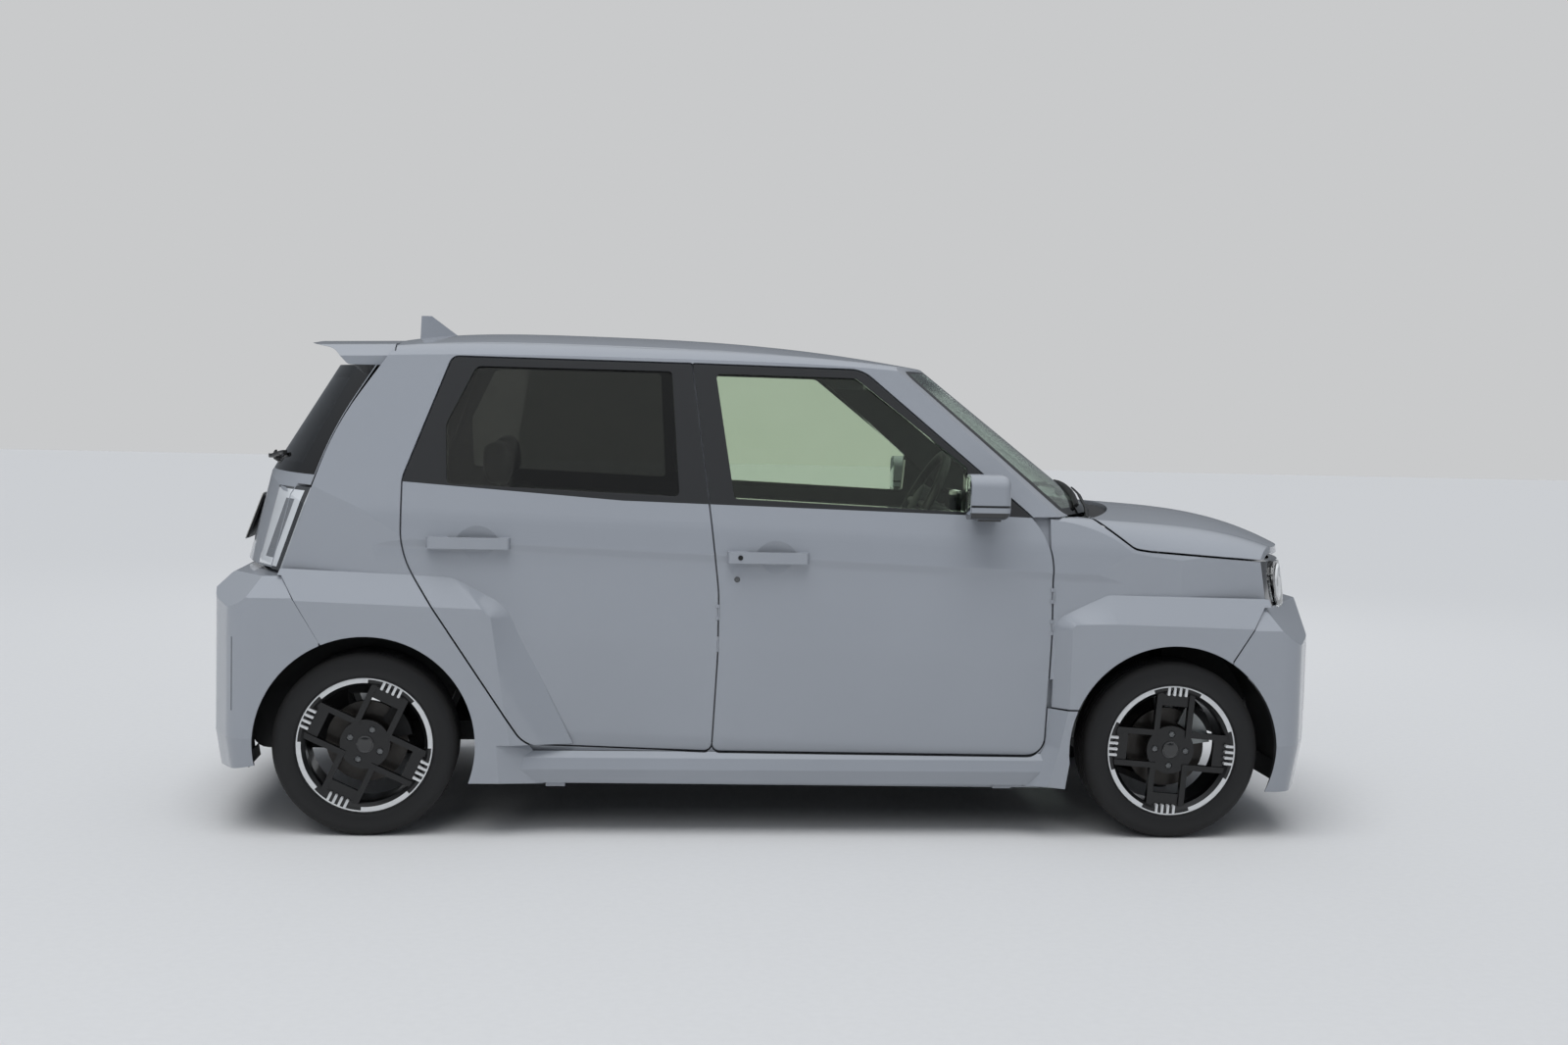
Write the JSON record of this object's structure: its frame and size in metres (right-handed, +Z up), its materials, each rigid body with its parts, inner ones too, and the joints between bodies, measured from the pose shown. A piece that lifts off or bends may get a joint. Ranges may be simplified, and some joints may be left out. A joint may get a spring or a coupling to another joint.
{
  "type": "compact electric hatchback car",
  "caption": "Small five-door electric hatchback with boxed wheel arches; doors, hood and tailgate open, the front wheels steer and every wheel rolls.",
  "frame": {"origin": "on the ground, at the middle of the car's length and width", "axes": "+X towards the nose, +Y towards the car's left side, +Z up"},
  "size_m": [3.5839, 1.7342, 1.6139],
  "materials": {
    "paint": "solid light blue-grey",
    "painted_plastic": "solid light blue-grey",
    "black_trim": "satin black",
    "clear_glass": "pale green tint",
    "dark_glass": "dark privacy tint",
    "tyre": "matt",
    "wheel_black": "gloss black",
    "head_lamp": "black bezel with white light rings",
    "tail_lamp": "smoked lens with pale bezel",
    "black_gloss": "gloss black",
    "underbody": "dark sealed steel",
    "cast_steel": "rough",
    "aluminium": "cast",
    "dash_plastic": "grained",
    "seat_cloth": "woven"
  },
  "bodies": {
    "body": {"body_side_right": "paint", "body_side_left": "paint", "windscreen": "clear_glass", "roof": "paint", "fender_right": "paint", "fender_left": "paint", "front_bumper": "painted_plastic", "rear_bumper": "painted_plastic", "front_panel": "black_gloss", "headlamps": "head_lamp", "tail_lamps": "tail_lamp", "cowl": "black_trim", "floor_pan": "underbody", "front_frame": "underbody", "rear_frame": "underbody", "battery_pack": "aluminium", "drive_unit": "aluminium", "front_suspension": "cast_steel", "rear_axle": "cast_steel", "dashboard": "dash_plastic", "seats": "seat_cloth"},
    "hood": {"hood": "paint"},
    "tailgate": {"tailgate": "paint", "tailgate_glass": "dark_glass", "spoiler": "painted_plastic"},
    "steering_wheel": {"steering_wheel": "black_trim"},
    "front_door_right": {"door_front_right": "paint", "glass_front_right": "clear_glass", "mirror_right": "painted_plastic"},
    "rear_door_right": {"door_rear_right": "paint", "glass_rear_right": "dark_glass"},
    "knuckle_right": {"knuckle_right": "cast_steel"},
    "front_wheel_right": {"tyre_front_right": "tyre", "rim_front_right": "wheel_black"},
    "rear_wheel_right": {"tyre_rear_right": "tyre", "rim_rear_right": "wheel_black"},
    "front_door_left": {"door_front_left": "paint", "glass_front_left": "clear_glass", "mirror_left": "painted_plastic"},
    "rear_door_left": {"door_rear_left": "paint", "glass_rear_left": "dark_glass"},
    "knuckle_left": {"knuckle_left": "cast_steel"},
    "front_wheel_left": {"tyre_front_left": "tyre", "rim_front_left": "wheel_black"},
    "rear_wheel_left": {"tyre_rear_left": "tyre", "rim_rear_left": "wheel_black"}
  },
  "joints": [
    {"name": "front_door_right_hinge", "type": "hinge", "parent": "body", "child": "front_door_right", "pos_m": [0.86, -0.737, 0.6], "axis": [0, 0, 1], "range_deg": [0, 65]},
    {"name": "rear_door_right_hinge", "type": "hinge", "parent": "body", "child": "rear_door_right", "pos_m": [-0.195, -0.737, 0.6], "axis": [0, 0, 1], "range_deg": [0, 70]},
    {"name": "front_door_left_hinge", "type": "hinge", "parent": "body", "child": "front_door_left", "pos_m": [0.86, 0.737, 0.6], "axis": [0, 0, -1], "range_deg": [0, 65]},
    {"name": "rear_door_left_hinge", "type": "hinge", "parent": "body", "child": "rear_door_left", "pos_m": [-0.195, 0.737, 0.6], "axis": [0, 0, -1], "range_deg": [0, 70]},
    {"name": "steering_right", "type": "hinge", "parent": "body", "child": "knuckle_right", "pos_m": [1.25, -0.625, 0.165], "axis": [0, 0.1961, 0.9806], "range_deg": [-33, 33]},
    {"name": "front_wheel_right_spin", "type": "hinge", "parent": "knuckle_right", "child": "front_wheel_right", "pos_m": [1.25, -0.6825, 0.281], "axis": [0, 1, 0], "continuous": true},
    {"name": "rear_wheel_right_spin", "type": "hinge", "parent": "body", "child": "rear_wheel_right", "pos_m": [-1.27, -0.6825, 0.281], "axis": [0, 1, 0], "continuous": true},
    {"name": "steering_left", "type": "hinge", "parent": "body", "child": "knuckle_left", "pos_m": [1.25, 0.625, 0.165], "axis": [0, -0.1961, 0.9806], "range_deg": [-33, 33]},
    {"name": "front_wheel_left_spin", "type": "hinge", "parent": "knuckle_left", "child": "front_wheel_left", "pos_m": [1.25, 0.6825, 0.281], "axis": [0, 1, 0], "continuous": true},
    {"name": "rear_wheel_left_spin", "type": "hinge", "parent": "body", "child": "rear_wheel_left", "pos_m": [-1.27, 0.6825, 0.281], "axis": [0, 1, 0], "continuous": true},
    {"name": "hood_hinge", "type": "hinge", "parent": "body", "child": "hood", "pos_m": [1.00799, 0, 1.003], "axis": [0, -1, 0], "range_deg": [0, 55]},
    {"name": "tailgate_hinge", "type": "hinge", "parent": "body", "child": "tailgate", "pos_m": [-1.2095, 0, 1.524], "axis": [0, 1, 0], "range_deg": [0, 75]},
    {"name": "steering_wheel_turn", "type": "hinge", "parent": "body", "child": "steering_wheel", "pos_m": [0.486, -0.335, 1.03], "axis": [0.8829, 0, -0.4695], "range_deg": [-462, 462]}
  ],
  "couplings": [
    {"joint": "steering_left", "follows": "steering_right", "ratio": 1},
    {"joint": "steering_wheel_turn", "follows": "steering_right", "ratio": -14}
  ]
}
